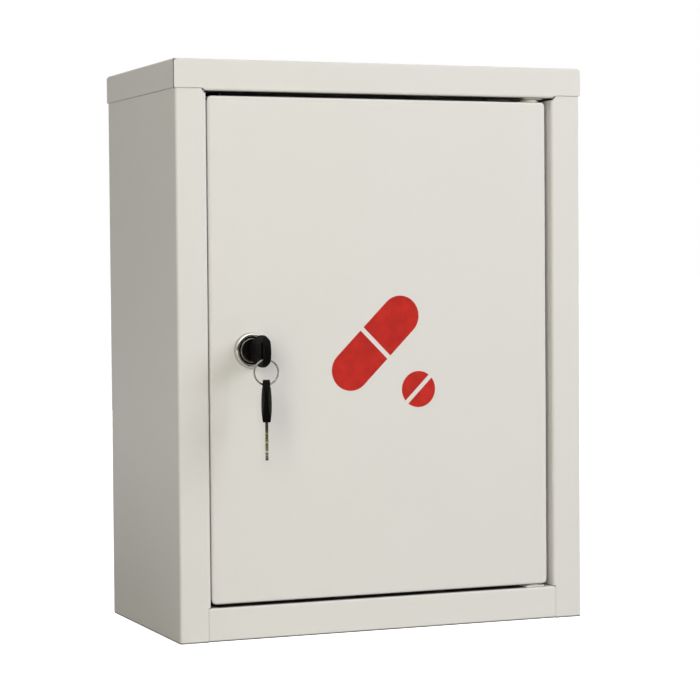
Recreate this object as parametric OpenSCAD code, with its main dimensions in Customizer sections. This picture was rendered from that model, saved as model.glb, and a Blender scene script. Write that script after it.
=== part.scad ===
// Lockable medicine cabinet: a case and lid of folded sheet steel, an inset door that turns on
// pivot pins, a cam lock with two keys on a ring, and one shelf. Millimetres, Z up. The origin is
// the middle of the underside, and the door faces -Y.

/* [Case] */
// Width across the side panels
body_w = 300; // [240:1:400]
// Depth from the front frame to the back of the case
body_d = 160; // [130:1:240]
// Height over the lid
body_h = 390; // [320:1:520]
// Thickness of the sheet steel
sheet_t = 1; // [0.8:0.1:1.2]
// Outer radius of the folds
fold_r = 1.8; // [1.5:0.1:2.2]
// Gap between sheets that meet edge to edge
seam_gap = 0.15; // [0.05:0.05:0.3]
// Height of the flanges round the bottom pan
pan_flange = 12; // [8:1:20]
// Width of the flange behind each side panel
rear_flange = 15; // [10:1:25]

/* [Front frame] */
// Flat width of the upright beside the door
stile_w = 20; // [14:1:30]
// Depth of the fold behind the upright
stile_return = 22.6; // [18:0.1:23]
// Height of the rail under the door
rail_h = 22.9; // [16:0.1:35]
// Depth of the shelf of sheet behind the rail and behind the lid's lower edge
rail_return = 32; // [30:1:34]

/* [Lid] */
// Thickness of the lid's sheet
lid_t = 0.6; // [0.5:0.1:1]
// Outer radius of the folds round the lid's top
lid_fold = 1.2; // [1.1:0.1:1.8]
// Open joint between the lid's front and side skirts
lid_joint = 1.7; // [0.7:0.1:2.4]
// Notch in the case's corner behind that joint
corner_notch = 2.6; // [2.5:0.1:4]
// Distance from the lid's lower edge up to that notch
notch_rise = 1.2; // [0.5:0.1:3]
// Height of the lid's skirt
lid_skirt = 19.3; // [14:0.1:30]
// How far the folded lower edge over the door hangs below the skirt
lid_drop = 1.8; // [0.6:0.1:2.4]
// How far that folded edge laps over each upright
lid_lap = 1; // [0.5:0.1:2]
// Gap between the folded edge and the tops of the uprights' returns
lid_clear = 1.4; // [0.2:0.1:2]
// Height of the flange inside the back
lid_rear = 12; // [8:1:13]

/* [Wall fixing] */
// Radius of the four holes in the back
wall_hole_r = 3; // [2:0.1:4]
// Distance across the holes
wall_hole_span = 220; // [140:1:230]
// Height between the holes
wall_hole_rise = 280; // [180:1:290]
// Height of the holes' centre
wall_hole_z = 190; // [170:1:200]

/* [Door] */
// Gap on the lock side
gap_left = 1.2; // [1:0.1:2]
// Gap on the hinge side
gap_right = 4.8; // [4.2:0.1:6]
// Gap under the lid
gap_top = 3.1; // [2.2:0.1:3.8]
// Gap over the rail
gap_bottom = 2.1; // [1.6:0.1:2.5]
// How far the door's face lies behind the frame's
door_inset = 0.4; // [0:0.1:1]
// Depth of the door's folded edges
door_depth = 16; // [14:1:17]
// Width of the lip inside the door's upright edges
door_lip = 10; // [6:1:14]
// Outer radius of the door's corners
door_corner = 3; // [2.6:0.1:4]
// Distance from the ends of the lips to the door's ends
door_notch = 5; // [4:0.5:7]
// Width of the stiffening channel's crown
channel_w = 30; // [20:1:50]
// Height of the stiffening channel's crown above the door sheet
channel_rise = 10; // [6:1:12]
// Width of the stiffening channel's feet
channel_foot = 10; // [6:1:15]
// Distance from the channel's ends to the door's ends
channel_end = 22; // [15:1:60]

/* [Hinges] */
// Distance from the pivot to the door's edge
pivot_edge = 9; // [8:0.1:11]
// Depth of the pivot behind the door's face
pivot_depth = 7.6; // [6:0.1:9]
// Radius of the pivot pins
pin_r = 2.5; // [2:0.1:3]
// Thickness of the frame's hinge brackets
bracket_t = 1.2; // [1:0.1:1.3]
// Width of a bracket's tongue
tongue_w = 15; // [13:0.5:16]
// Distance from the frame's front to a bracket's tongue
tongue_front = 1; // [0.6:0.1:1.4]
// Radius of the tongue's front corners
tongue_corner = 2; // [1:0.5:4]
// Width of a bracket's foot
foot_w = 34; // [30:1:40]
// Depth of a bracket's foot
foot_d = 11; // [9:0.5:12]
// Distance between a bracket's screws
screw_span = 20; // [16:1:22]
// Radius of the bracket screws
screw_r = 1.75; // [1.5:0.05:2]
// Length of the bracket screws under the head
screw_len = 7; // [5:0.5:9]
// Radius of the hinge washers
washer_r = 6.5; // [4.5:0.1:7]
// Thickness of the plates inside the door
hinge_plate_t = 2; // [1.5:0.1:3]
// Width of the plates inside the door
hinge_plate_w = 26; // [20:1:40]
// How far a pin stands past its plate
pin_tail = 3; // [1:0.5:5]

/* [Door stops] */
// Width of a stop
stop_w = 14; // [12:1:20]
// Height of a stop's upright leg
stop_leg = 20; // [18:1:22]
// Depth of a stop's foot
stop_foot = 9; // [6:0.5:11]
// Radius of the rubber buffers
buffer_r = 4.5; // [3:0.1:5]
// Thickness of the rubber buffers
buffer_t = 2; // [1:0.1:2.5]
// Gap between the closed door and the buffers
buffer_gap = 0.3; // [0.2:0.1:0.5]

/* [Shelf] */
// Height of the shelf's top
shelf_z = 190; // [120:1:230]
// Distance from the front frame to the shelf
shelf_front = 36; // [34:1:50]
// Height of the shelf's front lip
shelf_lip = 14; // [8:1:20]
// Height of the shelf's rear upstand
shelf_upstand = 10; // [6:1:20]
// Gap round the shelf
shelf_gap = 1; // [0.5:0.1:2]
// Legs of the ledge angles
ledge_leg = 12; // [8:1:18]

/* [Lock] */
// Distance from the lock's axis to the door's edge
lock_edge = 28.8; // [25:0.1:34]
// Radius of the bezel
bezel_r = 11.8; // [11:0.1:13]
// How far the bezel stands out
bezel_h = 4; // [3.6:0.1:5]
// Radius of the bezel's rounded rim
rim_r = 1.8; // [1.4:0.1:2.4]
// Radius of the plug's head
plug_head_r = 8.4; // [8:0.1:8.6]
// Gap round the plug's head
plug_gap = 1.3; // [0.2:0.1:1.6]
// Depth of the recess that the plug's head turns in
plug_recess = 3; // [2.5:0.1:3.4]
// How far the plug's face lies inside the rim
plug_sink = 0.5; // [0.2:0.1:0.8]
// Radius of the housing's barrel
barrel_r = 9.2; // [9:0.1:9.6]
// Width over the barrel's flats
barrel_flats = 16; // [15:0.1:17]
// Length of the barrel behind the door's face
barrel_len = 22.8; // [22.7:0.1:24]
// Radius of the plug's barrel
plug_r = 6.5; // [6:0.1:7]
// Width over the nut's flats
nut_flats = 23; // [21:0.5:24]
// Thickness of the nut
nut_t = 4.5; // [3:0.1:6]
// Side of the square that carries the cam
cam_square = 8; // [7:0.1:9]
// Length of the cam from the axis to its tip
cam_len = 39; // [37:0.5:42]
// Width of the cam
cam_w = 14; // [12:0.5:18]
// Thickness of the cam
cam_t = 2; // [1.5:0.1:2.5]
// Radius of the cam's screw
cam_screw_r = 2.5; // [2:0.1:3]
// Radius of the cam screw's head
cam_head_r = 4.5; // [4:0.1:5]
// Height of the cam screw's head
cam_head_h = 2.6; // [2:0.1:3]
// Thickness of the cam's washer
cam_washer_t = 0.8; // [0.5:0.1:1.2]

/* [Keys] */
// Thickness of the blade
blade_t = 2; // [1.6:0.1:2.4]
// Width of the blade
blade_w = 7.6; // [6.5:0.1:8.2]
// Length of the blade outside the bow
blade_len = 25.4; // [22:0.1:26.5]
// Length of the blade held in the bow
tang_len = 9; // [6:0.5:14]
// Width of the groove milled along each side of the blade
groove_w = 2.4; // [1.5:0.1:3]
// Depth of the grooves
groove_d = 0.4; // [0.2:0.05:0.6]
// Number of notches on each edge
notches = 6; // [3:1:7]
// Distance between notches
notch_pitch = 3; // [2.4:0.1:3]
// Length of the bow
bow_len = 28; // [24:0.5:32]
// Width of the bow
bow_w = 21.6; // [20:0.1:25]
// Greatest thickness of the bow
bow_t = 7; // [6:0.1:8]
// Gap between the bow and the plug's face
bow_gap = 2.4; // [1:0.1:4]
// Width of the bow's slot for the ring
slot_w = 3.5; // [3:0.1:4]
// Length of the bow's slot
slot_len = 12.8; // [9:0.1:13]
// Plastic left between the slot and the bow's end
slot_edge = 2.4; // [2:0.1:3]
// Radius of the ring at the middle of its wire
ring_r = 8.35; // [8:0.05:12]
// Radius of the ring's wire
wire_r = 0.6; // [0.5:0.05:0.8]
// Height that the ring hangs below the slot's end, for the curve of the wire
hang_gap = 0.5; // [0.45:0.05:0.7]
// Opening between the ring's ends, in degrees
ring_split = 3; // [1:1:6]
// How far the hanging key is turned about the upright, in degrees
hang_turn = 20; // [0:1:30]

/* [Fits] */
// Radial gap of a turning fit
run_gap = 0.05; // [0.02:0.01:0.1]
// Radial gap of a fixed fit
fixed_gap = 0.02; // [0.01:0.01:0.05]
// Gap between faces that turn past each other
face_gap = 0.1; // [0.05:0.01:0.15]
// Gap round the blade in its keyway
key_gap = 0.2; // [0.1:0.05:0.3]

/* [Hidden] */
$fn = 48;

half_t = sheet_t / 2;
inner_back = body_d - sheet_t;       // front face of the back panel
back_mid = inner_back - half_t;      // mid-plane of the flanges in front of it
case_top = body_h - fold_r;          // top of the upright sheets, under the lid's folds
skirt_z = body_h - lid_skirt;
lid_under = skirt_z - lid_drop;      // underside of the folded edge over the door
opening_x = stile_w + fold_r;        // inner plane of the left upright
door_x0 = opening_x + gap_left;
door_x1 = body_w - opening_x - gap_right;
door_z0 = rail_h + gap_bottom;
door_z1 = lid_under - gap_top;
door_back = door_inset + door_depth;
pivot_x = door_x1 - pivot_edge;
pivot_y = door_inset + pivot_depth;
foot_y1 = rail_return - 1;
screw_y = foot_y1 - foot_d / 2;
foot_x0 = pivot_x + tongue_w / 2 - foot_w;
screw_x = pivot_x + tongue_w / 2 - foot_w / 2;
lock_x = door_x0 + lock_edge;
lock_z = (door_z0 + door_z1) / 2;
recess_r = plug_head_r + plug_gap;
plug_face = -bezel_h + plug_sink;    // along the lock's axis, from the door's face
cam_front = barrel_len + 2 * face_gap;
cam_back = cam_front + cam_t;
bow_root = plug_face - bow_gap;
bow_end = bow_root - bow_len;
blade_tip = bow_root + blade_len;
slot_z = bow_end + slot_edge + slot_w / 2;
ring_top = slot_len / 2 - hang_gap - wire_r;
ring_mid = ring_top + ring_r;
ring_foot = ring_mid + ring_r;
keyway_end = blade_tip + 2 * bow_gap / 3;
hang_end = ring_foot - wire_r - hang_gap - slot_edge;  // height of the hanging bow's end

paint = "#dedcd6";
zinc = "#c3c6c8";
nickel = "#d8d8d4";
dark_nickel = "#6f6a66";
brass = "#b9a25a";
black = "#1c1c1c";

// ---- Places ----

// Moves the lower left front corner of the case to its place
module case_frame() translate([-body_w / 2, -body_d / 2, 0]) children();

// The same on the right-hand side of the case
module right_hand() translate([body_w, 0, 0]) mirror([1, 0, 0]) children();

// Frame on the lock's axis at the door's face: X right, Y down, Z into the case
module at_lock() case_frame() translate([lock_x, door_inset, lock_z]) rotate([-90, 0, 0]) children();

// Frame of the key that hangs on the ring, laid out like the key in the lock
module at_spare() at_lock() translate([0, hang_end - bow_end, slot_z])
    rotate([0, hang_turn, 0]) rotate([-90, 0, 0]) children();

// Extrudes a section in Y and Z along X
module along_x(x0, x1) translate([x0, 0, 0]) rotate([90, 0, 90]) linear_extrude(x1 - x0) children();

// Extrudes a section in X and Z along Y
module along_y(y0, y1) translate([0, y1, 0]) rotate([90, 0, 0]) linear_extrude(y1 - y0) children();

// Extrudes a section in X and Y along Z
module along_z(z0, z1) translate([0, 0, z0]) linear_extrude(z1 - z0) children();

// A box from one corner to the opposite one
module block(a, b) translate(a) cube(b - a);

// ---- Sheet metal ----

// Section of a folded sheet. The path follows the middle of the sheet, with square corners.
module folded(path, t = sheet_t, r = fold_r) {
    bend = r - t / 2;
    last = len(path) - 1;
    for (i = [0 : last - 1]) {
        step = path[i + 1] - path[i];
        lead = i > 0 ? bend : 0;
        tail = i < last - 1 ? bend : 0;
        flat = norm(step) - lead - tail;
        if (flat > 0.001)
            translate(path[i]) rotate(atan2(step.y, step.x))
                translate([lead, -t / 2]) square([flat, t]);
    }
    for (i = [1 : last - 1]) {
        towards = (path[i] - path[i - 1]) / norm(path[i] - path[i - 1]);
        away = (path[i + 1] - path[i]) / norm(path[i + 1] - path[i]);
        translate(path[i] + bend * (away - towards)) intersection() {
            difference() {
                circle(r);
                circle(r - t);
            }
            polygon(r * [[0, 0], towards, towards - away, -away]);
        }
    }
}

// Side of the case, upright beside the door and the flanges behind both, folded from one sheet
module side_panel() {
    return_x = opening_x - half_t;
    difference() {
        along_z(0, case_top)
            folded([[rear_flange, back_mid], [half_t, back_mid], [half_t, half_t],
                [return_x, half_t], [return_x, stile_return]]);
        // the rail butts against the foot of the upright
        block([stile_w, -1, -1], [opening_x + 1, stile_return + 1, rail_h + seam_gap]);
        // the lid's folded edge passes over the top of the return
        block([stile_w - lid_lap - seam_gap, -1, lid_under - seam_gap],
            [opening_x + 1, stile_return + 1, body_h]);
        block([stile_w, -1, lid_under - lid_clear], [opening_x + 1, stile_return + 1, body_h]);
        block([-1, -1, skirt_z + notch_rise], [corner_notch, corner_notch, body_h]);
        // the lid's rear flange stands where this sheet's would
        block([-1, back_mid - fold_r, body_h - lid_rear - seam_gap], [rear_flange + 1, body_d, body_h]);
    }
}

module left_side_panel() color(paint) case_frame() side_panel();

module right_side_panel() color(paint) case_frame() right_hand() side_panel();

// Floor, front rail and flanges of the case
module bottom_pan() color(paint) case_frame() difference() {
    flange_x = sheet_t + half_t;
    union() {
        along_x(stile_w + seam_gap, body_w - stile_w - seam_gap)
            folded([[rail_return, rail_h - half_t], [half_t, rail_h - half_t], [half_t, half_t],
                [back_mid, half_t], [back_mid, pan_flange]]);
        for (side = [0 : 1])
            translate([side * body_w, 0, 0]) mirror([side, 0, 0])
                along_y(sheet_t + seam_gap, back_mid - fold_r)
                    folded([[flange_x, pan_flange], [flange_x, half_t], [stile_w + seam_gap, half_t]]);
    }
    bracket_holes(rail_h - half_t);
}

module back_panel() color(paint) case_frame() difference() {
    block([half_t, inner_back, half_t], [body_w - half_t, body_d, case_top]);
    for (x = [-1, 1], z = [-1, 1])
        translate([(body_w + x * wall_hole_span) / 2, body_d + 1, wall_hole_z + z * wall_hole_rise / 2])
            rotate([90, 0, 0]) cylinder(r = wall_hole_r, h = sheet_t + 2);
}

// Cap of the case, with open corners. Its front skirt folds back under itself over the door.
module lid() color(paint) case_frame() difference() {
    half = lid_t / 2;
    top = body_h - half;
    rear = inner_back - half;
    flat = lid_fold - lid_t;
    under = body_h - lid_fold;
    lap_x = stile_w - lid_lap;
    union() {
        along_x(flat, body_w - flat)
            folded([[-half, skirt_z], [-half, top], [rear, top], [rear, body_h - lid_rear]], lid_t, lid_fold);
        along_x(lap_x, body_w - lap_x)
            folded([[rail_return, lid_under + half], [-half, lid_under + half], [-half, skirt_z + fold_r]],
                lid_t, fold_r);
        for (side = [0 : 1])
            translate([side * body_w, 0, 0]) mirror([side, 0, 0]) {
                block([-lid_t, -lid_t, skirt_z], [flat, 0, under]);
                along_y(lid_joint, rear - lid_fold)
                    folded([[-half, skirt_z], [-half, top], [flat, top]], lid_t, lid_fold);
                block([-lid_t, rear - lid_fold, skirt_z], [0, body_d, under]);
            }
    }
    // sloping ends of the folded edge
    for (side = [0 : 1])
        translate([side * body_w, 0, 0]) mirror([side, 0, 0])
            along_y(-sheet_t - 1, fold_r)
                polygon([[lap_x - 1, skirt_z], [lap_x, skirt_z], [opening_x, lid_under - 0.01],
                    [lap_x - 1, lid_under - 0.01]]);
    bracket_holes(lid_under + half);
}

// Loose shelf with a lip in front and an upstand behind
module shelf() color(paint) case_frame() {
    back = inner_back - sheet_t - shelf_gap - half_t;
    along_x(sheet_t + shelf_gap, body_w - sheet_t - shelf_gap)
        folded([[shelf_front + half_t, shelf_z - shelf_lip], [shelf_front + half_t, shelf_z - half_t],
            [back, shelf_z - half_t], [back, shelf_z + shelf_upstand]]);
}

// Angle on the side panel that carries one end of the shelf
module shelf_ledge() {
    leg_x = sheet_t + half_t;
    seat = shelf_z - sheet_t - half_t;
    along_y(shelf_front + 2 * fold_r, inner_back - sheet_t - shelf_gap - 2 * fold_r)
        folded([[leg_x, shelf_z - sheet_t - ledge_leg], [leg_x, seat], [sheet_t + ledge_leg, seat]]);
}

module left_shelf_ledge() color(paint) case_frame() shelf_ledge();

module right_shelf_ledge() color(paint) case_frame() right_hand() shelf_ledge();

// ---- Hinges and stops on the frame ----

// Holes for the bracket screws through a sheet at this height
module bracket_holes(z) for (s = [-1, 1])
    translate([screw_x + s * screw_span / 2, screw_y, z - sheet_t])
        cylinder(r = screw_r + fixed_gap, h = 2 * sheet_t);

// Stamped bracket whose tongue carries the pivot pin
module hinge_bracket(z) translate([0, 0, z]) difference() {
    linear_extrude(bracket_t) difference() {
        union() {
            for (s = [-1, 1])
                translate([pivot_x + s * (tongue_w / 2 - tongue_corner), tongue_front + tongue_corner])
                    circle(tongue_corner);
            translate([pivot_x - tongue_w / 2 + tongue_corner, tongue_front])
                square([tongue_w - 2 * tongue_corner, foot_y1 - tongue_front]);
            translate([pivot_x - tongue_w / 2, tongue_front + tongue_corner])
                square([tongue_w, foot_y1 - tongue_front - tongue_corner]);
            translate([foot_x0, foot_y1 - foot_d]) square([foot_w, foot_d]);
        }
        translate([pivot_x, pivot_y]) circle(pin_r + fixed_gap);
    }
    bracket_holes(bracket_t / 2);
}

module upper_hinge_bracket() color(paint) case_frame() hinge_bracket(lid_under - bracket_t);

module lower_hinge_bracket() color(paint) case_frame() hinge_bracket(rail_h);

// Pin riveted flush into its bracket, with a chamfered end, pointing up
module hinge_pin(gap) {
    reach = gap + sheet_t + hinge_plate_t + pin_tail;
    chamfer = pin_r / 5;
    rotate_extrude() polygon([[0, 0], [pin_r, 0], [pin_r, reach - chamfer],
        [pin_r - chamfer, reach], [0, reach]]);
}

module upper_hinge_pin() color(zinc) case_frame()
    translate([pivot_x, pivot_y, lid_under]) mirror([0, 0, 1]) hinge_pin(gap_top);

module lower_hinge_pin() color(zinc) case_frame()
    translate([pivot_x, pivot_y, rail_h]) hinge_pin(gap_bottom);

// Washer round the pin that fills the gap between bracket and door
module hinge_washer(z, gap) translate([pivot_x, pivot_y, z]) difference() {
    cylinder(r = washer_r, h = gap - bracket_t - 2 * face_gap);
    translate([0, 0, -1]) cylinder(r = pin_r + face_gap, h = gap + 2);
}

module lower_hinge_washer() color("white") case_frame() hinge_washer(rail_h + bracket_t, gap_bottom);

module upper_hinge_washer() color("white") case_frame() hinge_washer(door_z1, gap_top);

// Low-headed screw, head at the origin and shank along Z
module low_screw(r, len) rotate_extrude() {
    head_r = 1.9 * r;
    difference() {
        polygon([[0, -0.45 * r], [head_r - 0.45 * r, -0.45 * r], [head_r, 0], [r, 0], [r, len - r / 3],
            [0.6 * r, len], [0, len]]);
        polygon([[-1, -r], [0.7 * r, -r], [0, -0.1 * r]]);
    }
}

module hinge_screws() color(zinc) case_frame() for (s = [-1, 1]) {
    x = screw_x + s * screw_span / 2;
    translate([x, screw_y, lid_under - bracket_t]) low_screw(screw_r, screw_len);
    translate([x, screw_y, rail_h + bracket_t]) mirror([0, 0, 1]) low_screw(screw_r, screw_len);
}

// Angle that stops the door, hanging down from the lid's folded edge
module door_stop() {
    leg_y = door_back + buffer_gap + buffer_t + half_t;
    along_x(door_x0, door_x0 + stop_w)
        folded([[leg_y, -stop_leg], [leg_y, -half_t], [leg_y + stop_foot, -half_t]]);
}

module upper_door_stop() color(black) case_frame() translate([0, 0, lid_under]) door_stop();

module lower_door_stop() color(black) case_frame()
    translate([0, 0, rail_h]) mirror([0, 0, 1]) door_stop();

// Rubber pads on the stops, behind the door's lip
module door_buffers() color(black) case_frame() for (z = [door_z0 + door_notch, door_z1 - door_notch]) {
    inward = z > lock_z ? -1 : 1;
    translate([door_x0 + door_lip / 2 + 0.5, door_back + buffer_gap, z + inward * (buffer_r + 1)])
        rotate([-90, 0, 0]) cylinder(r1 = buffer_r - 0.5, r2 = buffer_r, h = buffer_t);
}

// ---- Door ----

// Door sheet folded to a tray with lips inside its upright edges. Its corners are round at the
// face and open behind.
module door_skin() color(paint) case_frame() difference() {
    face = door_inset + half_t;
    lip_y = door_back - half_t;
    centre_x = (door_x0 + door_x1) / 2;
    reach_x = (door_x1 - door_x0) / 2 - door_corner;
    reach_z = (door_z1 - door_z0) / 2 - door_corner;
    round_r = door_corner - fold_r;
    union() {
        translate([centre_x, 0, lock_z]) along_y(door_inset, door_inset + sheet_t) {
            square(2 * [reach_x + round_r, reach_z], center = true);
            square(2 * [reach_x, reach_z + round_r], center = true);
            for (x = [-reach_x, reach_x], z = [-reach_z, reach_z]) translate([x, z]) circle(round_r);
        }
        for (turn = [0 : 3])
            translate([centre_x + (turn % 3 == 0 ? reach_x : -reach_x), door_inset,
                lock_z + (turn < 2 ? -reach_z : reach_z)])
                rotate([-90, 0, 0]) rotate(90 * turn) rotate_extrude(angle = 90)
                    folded([[door_corner - half_t, fold_r], [door_corner - half_t, half_t],
                        [round_r, half_t]]);
        for (side = [0 : 1]) {
            translate([2 * side * centre_x, 0, 0]) mirror([side, 0, 0]) {
                along_z(door_z0 + door_corner, door_z1 - door_corner)
                    folded([[door_x0 + half_t, door_back - fold_r], [door_x0 + half_t, face],
                        [door_x0 + fold_r, face]]);
                along_z(door_z0 + door_notch, door_z1 - door_notch)
                    folded([[door_x0 + door_lip, lip_y], [door_x0 + half_t, lip_y],
                        [door_x0 + half_t, door_back - fold_r]]);
                for (z = [door_z0 + door_corner, door_z1 - door_notch])
                    block([door_x0, door_back - fold_r, z],
                        [door_x0 + sheet_t, door_back, z + door_notch - door_corner]);
            }
            translate([0, 0, 2 * side * lock_z]) mirror([0, 0, side])
                along_x(door_x0 + door_corner, door_x1 - door_corner)
                    folded([[door_back, door_z0 + half_t], [face, door_z0 + half_t],
                        [face, door_z0 + fold_r]]);
        }
    }
    translate([pivot_x, pivot_y, door_z0 - 1]) cylinder(r = pin_r + run_gap, h = door_z1 - door_z0 + 2);
    translate([lock_x, door_inset, lock_z]) rotate([-90, 0, 0]) translate([0, 0, -1])
        linear_extrude(sheet_t + 2) barrel_section(fixed_gap);
}

// Channel of hat section spot-welded down the middle of the door
module door_channel() color(paint) case_frame() {
    foot_y = door_inset + sheet_t + half_t;
    crown_y = door_inset + sheet_t + channel_rise - half_t;
    middle = (door_x0 + door_x1) / 2;
    near = middle - channel_w / 2 + half_t;
    far = middle + channel_w / 2 - half_t;
    along_z(door_z0 + channel_end, door_z1 - channel_end)
        folded([[near - channel_foot, foot_y], [near, foot_y], [near, crown_y], [far, crown_y],
            [far, foot_y], [far + channel_foot, foot_y]]);
}

// Plate inside the door that the pin turns in
module hinge_plate(z) difference() {
    block([door_x1 - door_corner - hinge_plate_w, door_inset + fold_r, z],
        [door_x1 - door_corner, door_back - sheet_t - face_gap, z + hinge_plate_t]);
    translate([pivot_x, pivot_y, z - 1]) cylinder(r = pin_r + run_gap, h = hinge_plate_t + 2);
}

module upper_hinge_plate() color(zinc) case_frame() hinge_plate(door_z1 - sheet_t - hinge_plate_t);

module lower_hinge_plate() color(zinc) case_frame() hinge_plate(door_z0 + sheet_t);

// ---- Lock ----

// Round barrel with two flats that keep it from turning in the door
module barrel_section(gap) intersection() {
    circle(barrel_r + gap);
    square([barrel_flats + 2 * gap, 3 * barrel_r], center = true);
}

module lock_housing() color(nickel) at_lock() difference() {
    union() {
        rotate_extrude() {
            translate([0, -bezel_h]) square([bezel_r - rim_r, bezel_h]);
            translate([0, rim_r - bezel_h]) square([bezel_r, bezel_h - rim_r]);
            intersection() {
                translate([bezel_r - rim_r, rim_r - bezel_h]) circle(rim_r);
                translate([bezel_r - rim_r, -bezel_h]) square(rim_r);
            }
        }
        linear_extrude(barrel_len) barrel_section(0);
    }
    translate([0, 0, -bezel_h - 1]) cylinder(r = recess_r, h = plug_recess + 1);
    translate([0, 0, -bezel_h - 1]) cylinder(r1 = recess_r + 1.3, r2 = recess_r, h = 1.3);
    translate([0, 0, -bezel_h]) cylinder(r = plug_r + run_gap, h = bezel_h + barrel_len + 1);
}

module lock_nut() color(nickel) at_lock() translate([0, 0, sheet_t]) difference() {
    intersection() {
        cylinder(d = nut_flats / cos(30), h = nut_t, $fn = 6);
        // corners turned off towards the back
        cylinder(r1 = nut_flats / cos(30) / 2 + nut_t / 3, r2 = nut_flats / 2, h = nut_t);
    }
    translate([0, 0, -1]) cylinder(r = barrel_r + fixed_gap, h = nut_t + 2);
}

// Plug with a square end for the cam and a keyway with a sloping mouth
module lock_plug() color(dark_nickel) at_lock() difference() {
    seat = -bezel_h + plug_recess - face_gap;
    half_t = blade_t / 2 + key_gap;
    half_w = blade_w / 2 + key_gap;
    mouth = 0.4;
    union() {
        rotate_extrude() polygon([[0, plug_face], [plug_head_r - 0.6, plug_face],
            [plug_head_r, plug_face + 0.6], [plug_head_r, seat], [plug_r, seat],
            [plug_r, cam_front], [0, cam_front]]);
        translate([-cam_square / 2, -cam_square / 2, cam_front]) cube([cam_square, cam_square, cam_t]);
    }
    block([-half_t, -half_w, plug_face - 1], [half_t, half_w, keyway_end]);
    intersection() {
        along_y(-blade_w, blade_w) polygon([[-half_t, plug_face + mouth], [half_t, plug_face + mouth],
            [half_t + mouth + 1, plug_face - 1], [-half_t - mouth - 1, plug_face - 1]]);
        along_x(-blade_w, blade_w) polygon([[-half_w, plug_face + mouth], [half_w, plug_face + mouth],
            [half_w + mouth + 1, plug_face - 1], [-half_w - mouth - 1, plug_face - 1]]);
    }
    translate([0, 0, keyway_end + 0.5]) cylinder(r = cam_screw_r, h = cam_back - keyway_end);
}

// Flat cam, which points down while the door is free to open
module lock_cam() color(zinc) at_lock() translate([0, 0, cam_front]) linear_extrude(cam_t)
    difference() {
        union() {
            circle(cam_w * 0.6);
            translate([-cam_w / 2, 0]) square([cam_w, cam_len - cam_w / 2]);
            translate([0, cam_len - cam_w / 2]) circle(cam_w / 2);
        }
        square(cam_square, center = true);
    }

module cam_washer() color(zinc) at_lock() translate([0, 0, cam_back]) difference() {
    cylinder(r = cam_square * 0.75, h = cam_washer_t);
    translate([0, 0, -1]) cylinder(r = cam_screw_r, h = cam_washer_t + 2);
}

module cam_screw() color(zinc) at_lock() {
    under = cam_back + cam_washer_t;
    crown = under + cam_head_h;
    difference() {
        rotate_extrude() polygon([[0, keyway_end + 1], [cam_screw_r, keyway_end + 1],
            [cam_screw_r, under], [cam_head_r, under], [cam_head_r, crown - 0.8],
            [cam_head_r - 0.8, crown], [0, crown]]);
        for (turn = [0, 90])
            rotate(turn) translate([-cam_head_r / 2, -0.45, crown - 1.2]) cube([cam_head_r, 0.9, 2]);
    }
}

// ---- Keys ----

// Lens between two arcs of this radius, widest at this height
module lens(width, radius, z) intersection() {
    translate([width / 2 - radius, z]) circle(radius);
    translate([radius - width / 2, z]) circle(radius);
}

// Moulded bow, round at its outer end and thickest towards the blade, with a slot for the ring
module bow() difference() {
    $fn = 240;
    wide_z = bow_end + bow_w / 2;
    thick_z = bow_end + 0.6 * bow_len;
    collar_r = 1.5;
    collar = blade_w / 2 + 1 - collar_r;
    intersection() {
        // outline seen from the side
        translate([-bow_t, 0, 0]) along_x(0, 2 * bow_t) {
            translate([0, wide_z]) circle(bow_w / 2);
            intersection() {
                lens(bow_w, 1.25 * bow_w, wide_z);
                translate([-bow_w, wide_z]) square([2 * bow_w, bow_root - wide_z]);
            }
            // collar round the blade
            translate([-collar - collar_r, wide_z])
                square([2 * (collar + collar_r), bow_root - collar_r - wide_z]);
            translate([-collar, wide_z]) square([2 * collar, bow_root - wide_z]);
            for (s = [-collar, collar]) translate([s, bow_root - collar_r]) circle(collar_r);
        }
        // thickness along the key
        along_y(-bow_w, bow_w) {
            intersection() {
                lens(bow_t, 4 * bow_len, thick_z);
                translate([-bow_t, bow_end - 1]) square([2 * bow_t, thick_z - bow_end + 1]);
            }
            intersection() {
                lens(bow_t, 2.25 * bow_len, thick_z);
                translate([-bow_t, thick_z]) square([2 * bow_t, bow_root - thick_z + 1]);
            }
        }
        // thickness across the key
        along_z(bow_end - 1, bow_root + 1) lens(bow_t, 1.15 * bow_w, 0);
    }
    along_x(-bow_t, bow_t) {
        translate([-slot_len / 2 + slot_w / 2, slot_z - slot_w / 2]) square([slot_len - slot_w, slot_w]);
        for (s = [-1, 1]) translate([s * (slot_len - slot_w) / 2, slot_z]) circle(slot_w / 2);
    }
    block([-blade_t / 2, -blade_w / 2, bow_root - tang_len], [blade_t / 2, blade_w / 2, bow_root + 1]);
}

// Flat blade with notches on both edges, a groove along each side and a pointed tip
module blade() difference() {
    half = blade_w / 2;
    depths = [0.8, 1.3, 0.5, 1.1, 0.7, 1.2, 0.9];
    tip = blade_w * 0.3;
    first = blade_tip - tip - notch_pitch * notches;
    edge = [for (i = [0 : notches - 1])
        let (z = first + notch_pitch * i, d = depths[i])
            each [[half, z], [half - d, z + 0.35 * notch_pitch], [half - d, z + 0.65 * notch_pitch]]];
    along_x(-blade_t / 2, blade_t / 2)
        polygon(concat([[-half, bow_root - tang_len], [half, bow_root - tang_len]], edge,
            [[half, blade_tip - tip], [half - tip, blade_tip], [tip - half, blade_tip],
            [-half, blade_tip - tip]],
            [for (i = [len(edge) - 1 : -1 : 0]) [-edge[i].x, edge[i].y]]));
    for (side = [0 : 1]) mirror([side, 0, 0])
        block([blade_t / 2 - groove_d, -groove_w / 2, bow_root + 2], [blade_t, groove_w / 2, blade_tip + 1]);
}

module key_bow() color(black) at_lock() bow();

module key_blade() color(nickel) at_lock() blade();

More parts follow.
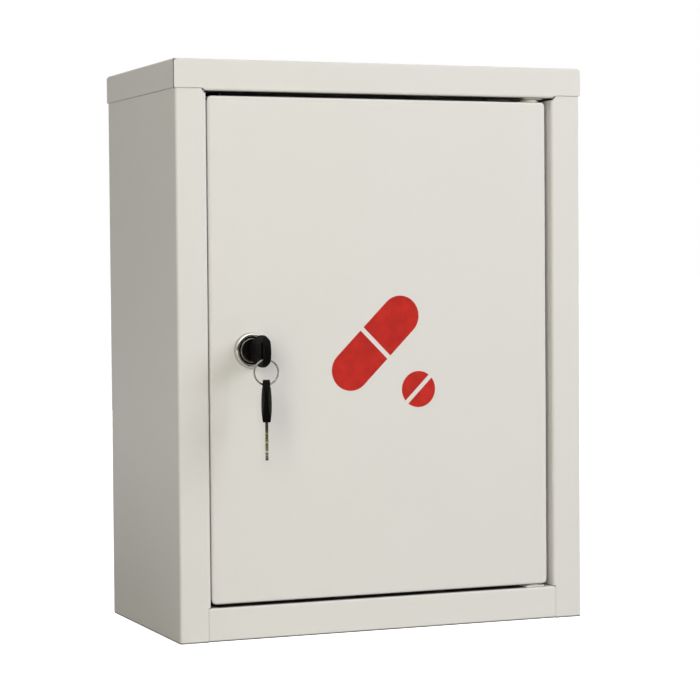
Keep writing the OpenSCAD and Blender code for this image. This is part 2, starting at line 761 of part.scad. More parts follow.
// Wire ring with its ends butted together, hanging in the slot of the key in the lock
module key_ring() color(nickel) at_lock() translate([0, ring_mid, slot_z])
    rotate(39 + ring_split / 2) rotate_extrude(angle = 360 - ring_split)
        translate([ring_r, 0]) circle(wire_r);

module spare_key_bow() color(black) at_spare() bow();

module spare_key_blade() color(brass) at_spare() blade();

left_side_panel();
right_side_panel();
bottom_pan();
back_panel();
lid();
shelf();
left_shelf_ledge();
right_shelf_ledge();
upper_hinge_bracket();
lower_hinge_bracket();
upper_hinge_pin();
lower_hinge_pin();
lower_hinge_washer();
hinge_screws();
upper_door_stop();
lower_door_stop();
door_buffers();
door_skin();
door_channel();
upper_hinge_plate();
lower_hinge_plate();
upper_hinge_washer();
lock_housing();
lock_nut();
lock_plug();
lock_cam();
cam_washer();
cam_screw();
key_bow();
key_blade();
key_ring();
spare_key_bow();
spare_key_blade();
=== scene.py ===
"""Finishes, sign and stage for a lockable sheet-steel medicine cabinet, around its CAD frame."""

import math

import bmesh
import bpy
from bpy.props import FloatProperty, FloatVectorProperty, PointerProperty
from mathutils import Matrix, Vector


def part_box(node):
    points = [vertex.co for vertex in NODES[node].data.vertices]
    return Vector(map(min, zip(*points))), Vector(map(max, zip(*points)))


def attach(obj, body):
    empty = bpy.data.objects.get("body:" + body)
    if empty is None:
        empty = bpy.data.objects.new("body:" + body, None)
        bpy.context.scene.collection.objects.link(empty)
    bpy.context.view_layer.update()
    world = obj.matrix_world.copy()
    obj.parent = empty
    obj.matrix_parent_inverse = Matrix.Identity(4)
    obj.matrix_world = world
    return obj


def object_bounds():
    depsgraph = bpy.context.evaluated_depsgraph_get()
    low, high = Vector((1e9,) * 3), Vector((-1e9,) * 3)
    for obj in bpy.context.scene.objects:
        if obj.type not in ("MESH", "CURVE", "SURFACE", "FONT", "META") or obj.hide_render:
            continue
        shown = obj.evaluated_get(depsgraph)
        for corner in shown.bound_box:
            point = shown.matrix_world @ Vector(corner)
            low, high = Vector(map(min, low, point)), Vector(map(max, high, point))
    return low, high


bl_info = {
    "name": "Medicine Cabinet Finish",
    "version": (1, 0, 0),
    "blender": (4, 5, 0),
    "location": "3D View > Sidebar > Cabinet",
    "description": "Finishes, sign and stage for a lockable sheet-steel medicine cabinet",
    "category": "Object",
}

MM = 0.001

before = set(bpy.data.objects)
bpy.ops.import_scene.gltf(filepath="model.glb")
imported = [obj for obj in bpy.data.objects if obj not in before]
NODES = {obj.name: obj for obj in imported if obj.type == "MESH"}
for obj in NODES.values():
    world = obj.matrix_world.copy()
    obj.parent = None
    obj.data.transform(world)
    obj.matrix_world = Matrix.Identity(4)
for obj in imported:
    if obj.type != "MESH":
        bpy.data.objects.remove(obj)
CAD_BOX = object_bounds()
DOOR_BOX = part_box("door_skin")

CASE_NODES = (
    "left_side_panel",
    "right_side_panel",
    "bottom_pan",
    "back_panel",
    "lid",
)
INNER_NODES = ("shelf", "left_shelf_ledge", "right_shelf_ledge")
STOP_NODES = ("upper_door_stop", "lower_door_stop")
DOOR_NODES = ("door_skin", "door_channel")
# Painted light and shade on one coat: the upper bracket's colour is darkened as if in shade, the
# lower one's lightened as if lit.
BRACKET_PAINTED_LIGHT = {"upper_hinge_bracket": 0.6, "lower_hinge_bracket": 1.2}
ZINC_NODES = (
    "upper_hinge_pin",
    "lower_hinge_pin",
    "hinge_screws",
    "upper_hinge_plate",
    "lower_hinge_plate",
    "lock_cam",
    "cam_washer",
    "cam_screw",
)
WASHER_NODES = ("upper_hinge_washer", "lower_hinge_washer")
BUFFER_NODES = ("door_buffers",)
BOW_NODES = ("key_bow", "spare_key_bow")


# ---- Small helpers ----


def new_material(name):
    """An empty node material with its output and one Principled shader."""
    material = bpy.data.materials.new(name)
    material.use_nodes = True
    nodes = material.node_tree.nodes
    nodes.clear()
    output = nodes.new("ShaderNodeOutputMaterial")
    shader = nodes.new("ShaderNodeBsdfPrincipled")
    material.node_tree.links.new(shader.outputs[0], output.inputs["Surface"])
    return material, nodes, material.node_tree.links, shader


def surface_coordinates(nodes):
    """Object coordinates, so a pattern keeps its real size and moves with its piece."""
    return nodes.new("ShaderNodeTexCoord").outputs["Object"]


def noise(nodes, links, where, size, detail):
    """Noise whose features are about as wide as size, in metres."""
    texture = nodes.new("ShaderNodeTexNoise")
    texture.inputs["Scale"].default_value = 1.0 / size
    texture.inputs["Detail"].default_value = detail
    texture.inputs["Roughness"].default_value = 0.5
    links.new(where, texture.inputs["Vector"])
    return texture.outputs["Fac"]


def ramp(nodes, links, value, stops):
    """A colour ramp through (place, colour) stops."""
    node = nodes.new("ShaderNodeValToRGB")
    elements = node.color_ramp.elements
    for element, (place, colour) in zip(elements, (stops[0], stops[-1])):
        element.position, element.color = place, (*colour, 1)
    for place, colour in stops[1:-1]:
        elements.new(place).color = (*colour, 1)
    links.new(value, node.inputs["Fac"])
    return node.outputs["Color"]


def feed(links, socket, value):
    """Links a socket to another, or sets it to a number."""
    if isinstance(value, bpy.types.NodeSocket):
        links.new(value, socket)
    else:
        socket.default_value = value


def calculate(nodes, links, operation, *values):
    """A Math node on sockets and numbers."""
    node = nodes.new("ShaderNodeMath")
    node.operation = operation
    for socket, value in zip(node.inputs, values):
        feed(links, socket, value)
    return node.outputs["Value"]


def remap(nodes, links, value, source=(0.0, 1.0), target=(0.0, 1.0)):
    """Maps source onto target and clamps. Each end is a number or a socket."""
    node = nodes.new("ShaderNodeMapRange")
    for end, amount in zip(("From Min", "From Max", "To Min", "To Max"), (*source, *target)):
        feed(links, node.inputs[end], amount)
    links.new(value, node.inputs["Value"])
    return node.outputs["Result"]


def spread(nodes, links, value, low, high):
    """Maps the middle of a noise onto low..high."""
    return remap(nodes, links, value, (0.3, 0.7), (low, high))


def split_axes(nodes, links, vector):
    """The X, Y and Z outputs of a vector."""
    node = nodes.new("ShaderNodeSeparateXYZ")
    links.new(vector, node.inputs[0])
    return node.outputs


def length_of(nodes, links, vector):
    """The length of a vector."""
    node = nodes.new("ShaderNodeVectorMath")
    node.operation = "LENGTH"
    links.new(vector, node.inputs[0])
    return node.outputs["Value"]


def openness(nodes, reach):
    """How open a point is, from 0 in a closed seam to 1, judged within this reach."""
    node = nodes.new("ShaderNodeAmbientOcclusion")
    node.samples = 8
    node.inputs["Distance"].default_value = reach
    return node.outputs["AO"]


def dim(nodes, links, shader, colour, factor):
    """Scales a colour on its way to the shader."""
    node = nodes.new("ShaderNodeVectorMath")
    node.operation = "SCALE"
    links.new(colour, node.inputs[0])
    links.new(factor, node.inputs["Scale"])
    links.new(node.outputs["Vector"], shader.inputs["Base Color"])


def open_coat(material):
    """The nodes, links and shader of a finished coat, and the colour that reaches the shader."""
    nodes, links = material.node_tree.nodes, material.node_tree.links
    shader = next(node for node in nodes if node.type == "BSDF_PRINCIPLED")
    return nodes, links, shader, shader.inputs["Base Color"].links[0].from_socket


def bump(nodes, links, shader, height, depth, below=None):
    """Bump of a real depth in metres, on top of another bump if one is given."""
    node = nodes.new("ShaderNodeBump")
    node.inputs["Distance"].default_value = depth
    links.new(height, node.inputs["Height"])
    if below:
        links.new(below, node.inputs["Normal"])
    links.new(node.outputs["Normal"], shader.inputs["Normal"])
    return node.outputs["Normal"]


def tinted(colour, factor):
    """A colour made lighter or darker, at most white."""
    return tuple(min(1.0, c * factor) for c in colour)


def dress(names, material):
    """Gives CAD nodes one material."""
    for name in names:
        node = NODES[name]
        node.data.materials.clear()
        node.data.materials.append(material)


def soften(names, width, segments=2, angle=35):
    """Rounds the cut edges of CAD nodes without touching their meshes."""
    for name in names:
        node = NODES[name]
        weld = node.modifiers.new("join_faces", "WELD")
        weld.merge_threshold = 0.001 * MM
        flats = node.modifiers.new("join_flats", "DECIMATE")
        flats.decimate_type = "DISSOLVE"
        flats.angle_limit = math.radians(0.3)
        bevel = node.modifiers.new("round_edges", "BEVEL")
        bevel.width = width
        bevel.segments = segments
        bevel.limit_method = "ANGLE"
        bevel.angle_limit = math.radians(angle)
        bevel.use_clamp_overlap = True
        bevel.harden_normals = False
        normals = node.modifiers.new("even_shading", "WEIGHTED_NORMAL")
        normals.keep_sharp = True
        normals.weight = 100


# ---- Finishes ----


def powder_coat(name, colour, settings):
    """Baked powder paint: orange peel, fine grain, a faint mottle and painted shade in the
    seams.
    """
    material, nodes, links, shader = new_material(name)
    where = surface_coordinates(nodes)
    mottle = noise(nodes, links, where, 45 * MM, 3.0)
    tones = ((0.3, tinted(colour, 0.996)), (0.7, tinted(colour, 1.003)))
    coat = ramp(nodes, links, mottle, tones)
    # Painted shade: the coat is darkened where a neighbouring sheet lies within the seam's
    # reach, as under the lid's skirts and along the joints.
    seam_shade = remap(nodes, links, openness(nodes, settings.seam), (0.35, 0.8), (0.35, 1.0))
    dim(nodes, links, shader, coat, seam_shade)
    gloss = noise(nodes, links, where, 6 * MM, 2.0)
    links.new(
        spread(nodes, links, gloss, settings.gloss_low, settings.gloss_high),
        shader.inputs["Roughness"],
    )
    shader.inputs["Specular IOR Level"].default_value = 0.22
    ripple = noise(nodes, links, where, settings.peel_size, 1.0)
    peel = bump(nodes, links, shader, ripple, settings.peel_depth)
    grain = noise(nodes, links, where, settings.peel_size / 4, 2.0)
    bump(nodes, links, shader, grain, settings.peel_depth / 5, peel)
    return material


def shade_edges(material):
    """Paints shade into a coat inside the lid's open corner joints and along the foot of the
    case.
    """
    nodes, links, shader, colour = open_coat(material)
    low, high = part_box("lid")
    at = split_axes(nodes, links, surface_coordinates(nodes))
    across = calculate(nodes, links, "ABSOLUTE", at["X"])
    foot_top = CAD_BOX[0].z + 1.1 * MM

    def step(value, start, stop):
        return remap(nodes, links, value, (start, stop))

    def both(first, second):
        return calculate(nodes, links, "MULTIPLY", first, second)

    side = both(
        step(across, high[0] - 0.8 * MM, high[0] - 0.7 * MM),
        step(at["Z"], low[2], low[2] + MM),
    )
    front = both(
        step(at["Y"], low[1] + 0.1 * MM, low[1] + 0.2 * MM),
        step(at["Y"], low[1] + 2.4 * MM, low[1] + 2.35 * MM),
    )
    foot = step(at["Z"], foot_top, foot_top - 0.4 * MM)
    # The dark mask paints shade into the hollow of the lid's corner joints and under the case's
    # bottom edges.
    dark = calculate(nodes, links, "MAXIMUM", both(side, front), foot)
    dim(nodes, links, shader, colour, remap(nodes, links, dark, target=(1.0, 0.3)))


def shade_gaps(material, reach):
    """Paints shade into a coat on level faces close under or over a neighbour, as in the door's
    gaps.
    """
    nodes, links, shader, colour = open_coat(material)
    # Painted shade: level faces near a neighbour are darkened almost to black.
    gap_shade = remap(nodes, links, openness(nodes, reach), (0.3, 0.95), (0.08, 1.0))
    normal = split_axes(nodes, links, nodes.new("ShaderNodeNewGeometry").outputs["Normal"])
    level = calculate(nodes, links, "ABSOLUTE", normal["Z"])
    dim(nodes, links, shader, colour, remap(nodes, links, level, (0.6, 0.9), (1.0, gap_shade)))


def plated(name, colour, low, high, grain_size, grain_depth):
    """Plated or plain metal with a fine grain."""
    material, nodes, links, shader = new_material(name)
    where = surface_coordinates(nodes)
    shader.inputs["Metallic"].default_value = 1.0
    cloud = noise(nodes, links, where, 8 * MM, 3.0)
    tones = ((0.3, tinted(colour, 0.9)), (0.7, tinted(colour, 1.06)))
    links.new(ramp(nodes, links, cloud, tones), shader.inputs["Base Color"])
    wear = noise(nodes, links, where, 2 * MM, 3.0)
    links.new(spread(nodes, links, wear, low, high), shader.inputs["Roughness"])
    bump(nodes, links, shader, noise(nodes, links, where, grain_size, 2.0), grain_depth)
    return material


def moulded(name, colour, low, high, grain_size, grain_depth, shine=0.5):
    """Moulded plastic or rubber with the mould's fine texture."""
    material, nodes, links, shader = new_material(name)
    shader.inputs["Specular IOR Level"].default_value = shine
    where = surface_coordinates(nodes)
    cloud = noise(nodes, links, where, 9 * MM, 3.0)
    tones = ((0.3, tinted(colour, 0.85)), (0.7, tinted(colour, 1.15)))
    links.new(ramp(nodes, links, cloud, tones), shader.inputs["Base Color"])
    wear = noise(nodes, links, where, 3 * MM, 2.0)
    links.new(spread(nodes, links, wear, low, high), shader.inputs["Roughness"])
    bump(nodes, links, shader, noise(nodes, links, where, grain_size, 2.0), grain_depth)
    return material


def turned(name, node, bands, low, high, widest=12):
    """Turned metal in (radius, colour) bands about its axis along Y, radii in millimetres."""
    material, nodes, links, shader = new_material(name)
    shader.inputs["Metallic"].default_value = 1.0
    where = surface_coordinates(nodes)
    low_corner, high_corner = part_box(node)
    axis = (Vector(low_corner) + Vector(high_corner)) / 2
    radial = nodes.new("ShaderNodeMapping")
    radial.inputs["Location"].default_value = (-axis.x, 0, -axis.z)
    links.new(where, radial.inputs["Vector"])
    flat = nodes.new("ShaderNodeVectorMath")
    flat.operation = "MULTIPLY"
    flat.inputs[1].default_value = (1, 0, 1)
    links.new(radial.outputs["Vector"], flat.inputs[0])
    radius = length_of(nodes, links, flat.outputs["Vector"])
    share = remap(nodes, links, radius, (0.0, widest * MM))
    stops = tuple((edge / widest, colour) for edge, colour in bands)
    links.new(ramp(nodes, links, share, stops), shader.inputs["Base Color"])
    wear = noise(nodes, links, where, 2 * MM, 3.0)
    links.new(spread(nodes, links, wear, low, high), shader.inputs["Roughness"])
    bump(nodes, links, shader, noise(nodes, links, where, 0.5 * MM, 2.0), 0.004 * MM)
    return material


def worn_blade(node):
    """Key blade whose dark plating is rubbed through to the brass along its notches."""
    material, nodes, links, shader = new_material("worn_brass")
    low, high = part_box(node)
    where = surface_coordinates(nodes)
    height = split_axes(nodes, links, where)["Z"]
    wear = ramp(
        nodes,
        links,
        remap(nodes, links, height, (low[2], high[2])),
        (
            (0.0, (0.04, 0.04, 0.035)),
            (0.10, (0.30, 0.29, 0.23)),
            (0.22, (0.22, 0.21, 0.12)),
            (0.52, (0.17, 0.165, 0.09)),
            (0.60, (0.05, 0.048, 0.043)),
            (1.0, (0.035, 0.034, 0.032)),
        ),
    )
    links.new(wear, shader.inputs["Base Color"])
    shader.inputs["Metallic"].default_value = 1.0
    scuff = noise(nodes, links, where, 1 * MM, 3.0)
    links.new(spread(nodes, links, scuff, 0.22, 0.4), shader.inputs["Roughness"])
    bump(nodes, links, shader, noise(nodes, links, where, 0.4 * MM, 2.0), 0.006 * MM)
    return material


# ---- Settings ----


class CabinetPaint(bpy.types.PropertyGroup):
    colour: FloatVectorProperty(
        name="Paint",
        description="Colour of the powder coat",
        subtype="COLOR",
        size=3,
        min=0,
        max=1,
        default=(0.790, 0.775, 0.772),
    )
    bracket_colour: FloatVectorProperty(
        name="Brackets",
        description="Colour of the coat on the hinge brackets",
        subtype="COLOR",
        size=3,
        min=0,
        max=1,
        default=(0.62, 0.60, 0.55),
    )
    gloss_low: FloatProperty(
        name="Lowest roughness",
        description="Roughness of the coat where it is glossiest",
        default=0.30,
        min=0.05,
        max=1,
        subtype="FACTOR",
    )
    gloss_high: FloatProperty(
        name="Highest roughness",
        description="Roughness of the coat where it is dullest",
        default=0.34,
        min=0.05,
        max=1,
        subtype="FACTOR",
    )
    peel_size: FloatProperty(
        name="Orange peel",
        description="Width of the coat's orange-peel ripples",
        default=1.6 * MM,
        min=0.3 * MM,
        max=6 * MM,
        unit="LENGTH",
        precision=4,
    )
    peel_depth: FloatProperty(
        name="Peel depth",
        description="Depth of the orange-peel ripples",
        default=0.006 * MM,
        min=0,
        max=0.3 * MM,
        unit="LENGTH",
        precision=5,
    )
    # The seam's reach is how far the painted shade in the joints between sheets spreads.
    seam: FloatProperty(
        name="Seam",
        description="Reach of the dull line in the joints between sheets",
        default=1.2 * MM,
        min=0,
        max=4 * MM,
        unit="LENGTH",
        precision=4,
    )
    gap: FloatProperty(
        name="Gap",
        description="Reach of the shade in the gaps above and below the door",
        default=5 * MM,
        min=0,
        unit="LENGTH",
        precision=4,
    )
    edge_round: FloatProperty(
        name="Edge rounding",
        description="Rounding of the sheets' cut edges under the paint",
        default=0.2 * MM,
        min=0.02 * MM,
        max=0.5 * MM,
        unit="LENGTH",
        precision=4,
    )


class CabinetSign(bpy.types.PropertyGroup):
    colour: FloatVectorProperty(
        name="Vinyl",
        description="Colour of the sign",
        subtype="COLOR",
        size=3,
        min=0,
        max=1,
        default=(0.53, 0.026, 0.020),
    )
    span: FloatProperty(
        name="Span",
        description="Width and height of the sign",
        default=80 * MM,
        min=30 * MM,
        max=140 * MM,
        unit="LENGTH",
        precision=4,
    )
    right: FloatProperty(
        name="Sideways",
        description="Place of the sign's centre to the right of the case's centre",
        default=-1.0 * MM,
        min=-60 * MM,
        max=60 * MM,
        unit="LENGTH",
        precision=4,
    )
    height: FloatProperty(
        name="Height",
        description="Height of the sign's centre above the base",
        default=192 * MM,
        min=80 * MM,
        max=300 * MM,
        unit="LENGTH",
        precision=4,
    )
    thickness: FloatProperty(
        name="Thickness",
        description="Thickness of the vinyl",
        default=0.08 * MM,
        min=0.03 * MM,
        max=0.3 * MM,
        unit="LENGTH",
        precision=5,
    )


class CabinetStage(bpy.types.PropertyGroup):
    camera_place: FloatVectorProperty(
        name="Camera",
        description="Place of the camera",
        subtype="TRANSLATION",
        unit="LENGTH",
        size=3,
        default=(-0.61460, -1.53850, 0.25070),
    )
    camera_yaw: FloatProperty(
        name="Yaw",
        description="Turn of the view to the right",
        default=math.radians(21.957),
        subtype="ANGLE",
    )
    camera_pitch: FloatProperty(
        name="Pitch",
        description="Tilt of the view downwards",
        default=math.radians(2.060),
        subtype="ANGLE",
    )
    camera_roll: FloatProperty(
        name="Roll",
        description="Roll of the camera",
        default=math.radians(-0.461),
        subtype="ANGLE",
    )
    lens: FloatProperty(
        name="Lens",
        description="Focal length in millimetres, on a 36 mm frame",
        default=118.35,
        min=20,
        max=400,
    )
    key_power: FloatProperty(
        name="Right lamp",
        description="Power of the lamp on the right, in watts",
        default=26.6,
        min=0,
    )
    fill_power: FloatProperty(
        name="Left lamp",
        description="Power of the warm lamp on the left, in watts",
        default=28.6,
        min=0,
    )
    top_power: FloatProperty(
        name="Top lamp",
        description="Power of the large lamp overhead, in watts",
        default=4,
        min=0,
    )
    back_power: FloatProperty(
        name="Back lamp",
        description="Power of the lamp behind the cabinet, in watts",
        default=22,
        min=0,
    )
    sky: FloatProperty(
        name="Sky",
        description="Strength of the room's own light",
        default=0.03,
        min=0,
        max=2,
    )


# ---- Pieces ----


class CABINET_OT_case(bpy.types.Operator):
    """Paint the case, lid, shelf and stops"""

    bl_idname = "cabinet.case"
    bl_label = "Paint Case"

    def execute(self, context):
        paint = context.scene.cabinet_paint
        coat = powder_coat("case_powder_coat", tuple(paint.colour), paint)
        shade_gaps(coat, paint.gap)
        shade_edges(coat)
        dress(CASE_NODES + INNER_NODES, coat)
        # The stops are painted near black so that they read as the shade in the gap above the
        # door.
        dress(STOP_NODES, powder_coat("shade_black_paint", (0.012,) * 3, paint))
        soften(CASE_NODES + INNER_NODES + STOP_NODES, paint.edge_round)
        return {"FINISHED"}


class CABINET_OT_door(bpy.types.Operator):
    """Paint the door and its stiffening channel"""

    bl_idname = "cabinet.door"
    bl_label = "Paint Door"

    def execute(self, context):
        paint = context.scene.cabinet_paint
        coat = powder_coat("door_powder_coat", tuple(paint.colour), paint)
        shade_gaps(coat, paint.gap)
        dress(DOOR_NODES, coat)
        soften(DOOR_NODES, paint.edge_round)
        return {"FINISHED"}


class CABINET_OT_hinges(bpy.types.Operator):
    """Finish the hinge brackets, pins, washers, screws and buffers"""

    bl_idname = "cabinet.hinges"
    bl_label = "Finish Hinges"

    def execute(self, context):
        paint = context.scene.cabinet_paint
        # Painted light: each bracket's coat colour is scaled by its level in the table above.
        for name, painted_light in BRACKET_PAINTED_LIGHT.items():
            colour = tinted(paint.bracket_colour, painted_light)
            dress((name,), powder_coat(f"{name}_coat", colour, paint))
        zinc, nylon, rubber = (0.62, 0.63, 0.64), (0.62, 0.60, 0.54), (0.02, 0.02, 0.021)
        dress(ZINC_NODES, plated("zinc_plate", zinc, 0.28, 0.42, 0.3 * MM, 0.01 * MM))
        dress(WASHER_NODES, moulded("nylon_washer", nylon, 0.45, 0.55, 0.4 * MM, 0.01 * MM))
        dress(BUFFER_NODES, moulded("black_rubber", rubber, 0.6, 0.75, 0.3 * MM, 0.02 * MM))
        soften((*BRACKET_PAINTED_LIGHT, *WASHER_NODES), 0.15 * MM)
        soften(ZINC_NODES, 0.12 * MM)
        soften(BUFFER_NODES, 0.3 * MM)
        return {"FINISHED"}


class CABINET_OT_lock(bpy.types.Operator):
    """Finish the lock's housing, nut and plug"""

    bl_idname = "cabinet.lock"
    bl_label = "Finish Lock"

    def execute(self, context):
        nickel, groove_shade, recess_shade = (0.62, 0.60, 0.555), (0.08, 0.075, 0.07), (0.006, 0.006, 0.006)
        bronze, worn_rim_and_highlight = (0.06, 0.052, 0.05), (0.9, 0.85, 0.72)
        # Painted shade: the dark bands on the bezel's face stand for the shade in the recess
        # round the plug and in the bezel's groove.
        rim = (
            (9.6, recess_shade),
            (9.75, nickel),
            (10.15, nickel),
            (10.3, groove_shade),
            (10.7, groove_shade),
            (10.85, nickel),
        )
        # The light band at the plug's rim is partly brass worn bare and partly a painted
        # highlight.
        face = ((7.9, bronze), (8.1, worn_rim_and_highlight))
        dress(("lock_housing",), turned("polished_nickel", "lock_housing", rim, 0.14, 0.22))
        dress(("lock_plug",), turned("dark_nickel", "lock_plug", face, 0.25, 0.35))
        dress(("lock_nut",), plated("nut_nickel", nickel, 0.2, 0.3, 0.5 * MM, 0.004 * MM))
        soften(("lock_housing", "lock_nut"), 0.12 * MM)
        soften(("lock_plug",), 0.4 * MM)
        return {"FINISHED"}


class CABINET_OT_keys(bpy.types.Operator):
    """Finish both keys and the ring"""

    bl_idname = "cabinet.keys"
    bl_label = "Finish Keys"

    def execute(self, context):
        plastic, steel, nickel = (0.004, 0.004, 0.0042), (0.42, 0.41, 0.39), (0.32, 0.31, 0.285)
        dress(
            BOW_NODES,
            moulded("key_plastic", plastic, 0.42, 0.52, 0.35 * MM, 0.012 * MM, shine=0.025),
        )
        dress(("key_blade",), plated("key_steel", steel, 0.2, 0.32, 0.4 * MM, 0.004 * MM))
        dress(("spare_key_blade",), worn_blade("spare_key_blade"))
        dress(("key_ring",), plated("ring_nickel", nickel, 0.15, 0.25, 0.4 * MM, 0.003 * MM))
        for name in BOW_NODES:
            node = NODES[name]
            remesh = node.modifiers.new("even_surface", "REMESH")
            remesh.mode = "VOXEL"
            remesh.voxel_size = 0.2 * MM
            remesh.use_smooth_shade = True
            smooth = node.modifiers.new("moulded_edges", "SMOOTH")
            smooth.factor = 0.5
            smooth.iterations = 3
        soften(("key_blade", "spare_key_blade"), 0.15 * MM)
        return {"FINISHED"}


def flat_shape(mesh, outline, y_front, y_back):
    """Adds a thin plate with this outline of (x, z) points to a bmesh."""
    front = [mesh.verts.new((x, y_front, z)) for x, z in outline]
    back = [mesh.verts.new((x, y_back, z)) for x, z in outline]
    mesh.faces.new(front)
    mesh.faces.new(back[::-1])
    count = len(outline)
    for i in range(count):
        j = (i + 1) % count
        mesh.faces.new((front[j], front[i], back[i], back[j]))


def arc(centre, radius, start, stop, steps=32):
    """Points along an arc, in degrees."""
    turns = [math.radians(start + (stop - start) * i / steps) for i in range(steps + 1)]
    return [
        (centre[0] + radius * math.cos(turn), centre[1] + radius * math.sin(turn))
        for turn in turns
    ]


class CABINET_OT_sign(bpy.types.Operator):
    """Stick the red vinyl sign, a capsule and a tablet, on the door"""

    bl_idname = "cabinet.sign"
    bl_label = "Add Sign"

    def execute(self, context):
        sign = context.scene.cabinet_sign
        unit = sign.span / 80  # the shapes below are drawn on an 80 x 80 square
        y_back = DOOR_BOX[0].y
        y_front = y_back - sign.thickness
        centre = Vector((sign.right, sign.height))

        capsule_r, capsule_half, band = 14 * unit, 26 * unit, 1.6 * unit
        capsule_at = centre + Vector((-6.5, 6.5)) * unit
        lean = Matrix.Rotation(math.radians(45), 2)
        tablet_r, score = 12.5 * unit, 1.5 * unit
        tablet_at = centre + Vector((25.5, -26.0)) * unit

        mesh = bmesh.new()
        for side in (-1, 1):
            half = [(side * band, -side * capsule_r)]
            half += arc((side * capsule_half, 0), capsule_r, -90 * side, 180 - 90 * side)
            half.append((side * band, side * capsule_r))
            outline = [capsule_at + lean @ Vector(point) for point in half]
            flat_shape(mesh, outline, y_front, y_back)
        gap = math.degrees(math.asin(score / tablet_r))
        for turn in (0, 180):
            half = arc((0, 0), tablet_r, turn + gap, turn + 180 - gap)
            outline = [tablet_at + lean @ Vector(point) for point in half]
            flat_shape(mesh, outline, y_front, y_back)
        bmesh.ops.recalc_face_normals(mesh, faces=mesh.faces)
        data = bpy.data.meshes.new("red_sign")
        mesh.to_mesh(data)
        mesh.free()
        decal = bpy.data.objects.new("red_sign", data)
        context.scene.collection.objects.link(decal)
        vinyl = tuple(sign.colour)
        data.materials.append(
            moulded("red_vinyl", vinyl, 0.42, 0.52, 1.2 * MM, 0.01 * MM, shine=0.2)
        )
        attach(decal, "door")
        return {"FINISHED"}


# ---- Stage ----


def seen_rays(nodes, links):
    """1 for camera, glossy and transmission rays, 0 for the rays that light things."""
    path = nodes.new("ShaderNodeLightPath").outputs
    straight = calculate(nodes, links, "MAXIMUM", path["Is Camera Ray"], path["Is Glossy Ray"])
    return calculate(nodes, links, "MAXIMUM", straight, path["Is Transmission Ray"])


def aim(azimuth, elevation):
    """Direction at an azimuth to the right of -Y and an elevation, in degrees."""
    turn, rise = math.radians(azimuth), math.radians(elevation)
    level = math.cos(rise)
    return Vector((math.sin(turn) * level, -math.cos(turn) * level, math.sin(rise)))


def build_world(scene, sky):
    """White for the camera. Reflections see a room, dim in front, bright behind and above."""
    world = bpy.data.worlds.new("white_room")
    scene.world = world
    world.use_nodes = True
    nodes, links = world.node_tree.nodes, world.node_tree.links
    nodes.clear()
    output = nodes.new("ShaderNodeOutputWorld")
    path = nodes.new("ShaderNodeLightPath").outputs

    def background(colour, strength):
        node = nodes.new("ShaderNodeBackground")
        node.inputs["Color"].default_value = (*colour, 1)
        node.inputs["Strength"].default_value = strength
        return node

    def choose(factor, first, second):
        node = nodes.new("ShaderNodeMixShader")
        links.new(factor, node.inputs[0])
        links.new(first.outputs[0], node.inputs[1])
        links.new(second.outputs[0], node.inputs[2])
        return node

    where = split_axes(nodes, links, nodes.new("ShaderNodeTexCoord").outputs["Generated"])
    raised = calculate(nodes, links, "MULTIPLY_ADD", where["Z"], 1.6, where["Y"])
    leftward = remap(nodes, links, where["X"], (0.0, 0.5), (1.0, 0.1))
    behind = remap(nodes, links, raised, (-0.4, 0.3), (0.0, leftward))
    above = remap(nodes, links, where["Z"], (0.4, 0.75))
    front_wall = background((1, 0.97, 0.92), 0.15)
    rear_wall = background((1, 0.98, 0.94), 0.95)
    ceiling = background((1, 1, 0.99), 2.2)
    room = choose(above, choose(behind, front_wall, rear_wall), ceiling)
    lit = choose(path["Is Glossy Ray"], background((1, 0.965, 0.87), sky), room)
    clear = calculate(
        nodes, links, "MAXIMUM", path["Is Camera Ray"], path["Is Transmission Ray"]
    )
    seen = choose(clear, lit, background((1, 1, 1), 1.0))
    links.new(seen.outputs[0], output.inputs["Surface"])


def build_floor(scene):
    """A pale floor that reads as white around the object and keeps its shadow."""
    mesh = bmesh.new()
    bmesh.ops.create_grid(mesh, x_segments=8, y_segments=8, size=30)
    data = bpy.data.meshes.new("studio_floor")
    mesh.to_mesh(data)
    mesh.free()
    floor = bpy.data.objects.new("studio_floor", data)
    floor.location.z = CAD_BOX[0].z - 0.05 * MM
    scene.collection.objects.link(floor)
    material, nodes, links, shader = new_material("pale_floor")
    shader.inputs["Base Color"].default_value = (0.60, 0.595, 0.57, 1)
    shader.inputs["Roughness"].default_value = 0.9
    shader.inputs["Specular IOR Level"].default_value = 0.1
    shader.inputs["Emission Color"].default_value = (1, 1, 1, 1)
    away = length_of(nodes, links, surface_coordinates(nodes))
    glossy = nodes.new("ShaderNodeLightPath").outputs["Is Glossy Ray"]
    # Painted shade in reflections: in the cabinet's glossy faces, the floor near the object
    # glows dimmer than it does to the camera.
    near_glow = remap(nodes, links, glossy, target=(0.92, 0.3))
    glow = remap(nodes, links, away, (0.3, 2.0), (near_glow, 1.0))
    glow = calculate(nodes, links, "MULTIPLY", seen_rays(nodes, links), glow)
    links.new(glow, shader.inputs["Emission Strength"])
    data.materials.append(material)


def area_lamp(scene, name, place, target, size, power, colour):
    """A softbox that lights the object and isn't mirrored in it."""
    data = bpy.data.lights.new(name, "AREA")
    data.shape = "RECTANGLE"
    data.size, data.size_y = size
    data.energy = power
    data.color = colour
    lamp = bpy.data.objects.new(name, data)
    lamp.location = place
    lamp.rotation_euler = (target - place).to_track_quat("-Z", "Y").to_euler()
    lamp.visible_glossy = False
    scene.collection.objects.link(lamp)


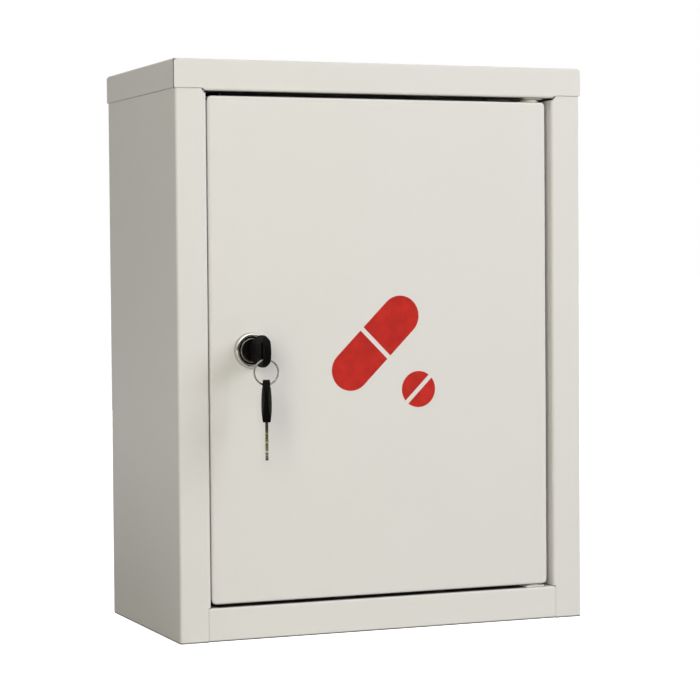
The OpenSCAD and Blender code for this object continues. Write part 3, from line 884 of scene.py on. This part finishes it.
def build_camera(scene, stage):
    """A level camera turned by its yaw, pitch and roll."""
    yaw, pitch, roll = stage.camera_yaw, stage.camera_pitch, stage.camera_roll
    flat = math.cos(pitch)
    ahead = Vector((math.sin(yaw) * flat, math.cos(yaw) * flat, -math.sin(pitch)))
    right = Vector((math.cos(yaw), -math.sin(yaw), 0))
    up = right.cross(ahead)
    across = right * math.cos(roll) + up * math.sin(roll)
    upright = up * math.cos(roll) - right * math.sin(roll)
    data = bpy.data.cameras.new("camera")
    data.lens = stage.lens
    data.sensor_width = 36
    data.clip_start = 0.01
    data.clip_end = 100
    camera = bpy.data.objects.new("camera", data)
    turned_axes = Matrix((across, upright, -ahead)).transposed()
    camera.matrix_world = Matrix.Translation(stage.camera_place) @ turned_axes.to_4x4()
    scene.collection.objects.link(camera)
    scene.camera = camera


class CABINET_OT_stage(bpy.types.Operator):
    """Set the floor, lamps, room light and camera"""

    bl_idname = "cabinet.stage"
    bl_label = "Set Stage"

    def execute(self, context):
        stage = context.scene.cabinet_stage
        scene = context.scene
        scene.view_settings.view_transform = "Standard"
        build_floor(scene)
        build_world(scene, stage.sky)
        middle = Vector((0, 0, 0.2))
        cool, warm = (0.955, 0.965, 1), (1, 0.975, 0.83)
        plain, amber = (0.985, 0.99, 1), (1, 0.97, 0.92)
        for name, azimuth, elevation, distance, size, power, colour in (
            ("right_softbox", 52, 30, 2.2, (1.3, 1.3), stage.key_power, cool),
            ("left_softbox", -30, 14, 2.4, (1.3, 1.3), stage.fill_power, warm),
            ("top_softbox", 10, 62, 2.0, (1.4, 1.0), stage.top_power, plain),
            ("back_softbox", 165, 10, 2.4, (1.5, 1.5), stage.back_power, amber),
        ):
            place = middle + distance * aim(azimuth, elevation)
            area_lamp(scene, name, place, middle, size, power, colour)
        build_camera(scene, stage)
        return {"FINISHED"}


class CABINET_PT_pieces(bpy.types.Panel):
    """The cabinet's sizes, colours and making steps"""

    bl_idname = "CABINET_PT_pieces"
    bl_label = "Medicine Cabinet"
    bl_space_type = "VIEW_3D"
    bl_region_type = "UI"
    bl_category = "Cabinet"

    def draw(self, context):
        for group_name, group in GROUPS.items():
            box = self.layout.box()
            for name in group.__annotations__:
                box.prop(getattr(context.scene, group_name), name)
        for operator in OPERATORS:
            self.layout.operator(operator.bl_idname)


GROUPS = {
    "cabinet_paint": CabinetPaint,
    "cabinet_sign": CabinetSign,
    "cabinet_stage": CabinetStage,
}
OPERATORS = (
    CABINET_OT_case,
    CABINET_OT_door,
    CABINET_OT_hinges,
    CABINET_OT_lock,
    CABINET_OT_keys,
    CABINET_OT_sign,
    CABINET_OT_stage,
)
CLASSES = (*GROUPS.values(), *OPERATORS, CABINET_PT_pieces)


def register():
    for cls in CLASSES:
        bpy.utils.register_class(cls)
    for name, group in GROUPS.items():
        setattr(bpy.types.Scene, name, PointerProperty(type=group))


def unregister():
    for name in GROUPS:
        delattr(bpy.types.Scene, name)
    for cls in reversed(CLASSES):
        bpy.utils.unregister_class(cls)


def main():
    register()
    for operator in OPERATORS:
        result = getattr(bpy.ops.cabinet, operator.bl_idname.split(".")[1])()
        if "FINISHED" not in result:
            raise RuntimeError(f"{operator.bl_idname} did not finish")


if __name__ == "__main__":
    main()
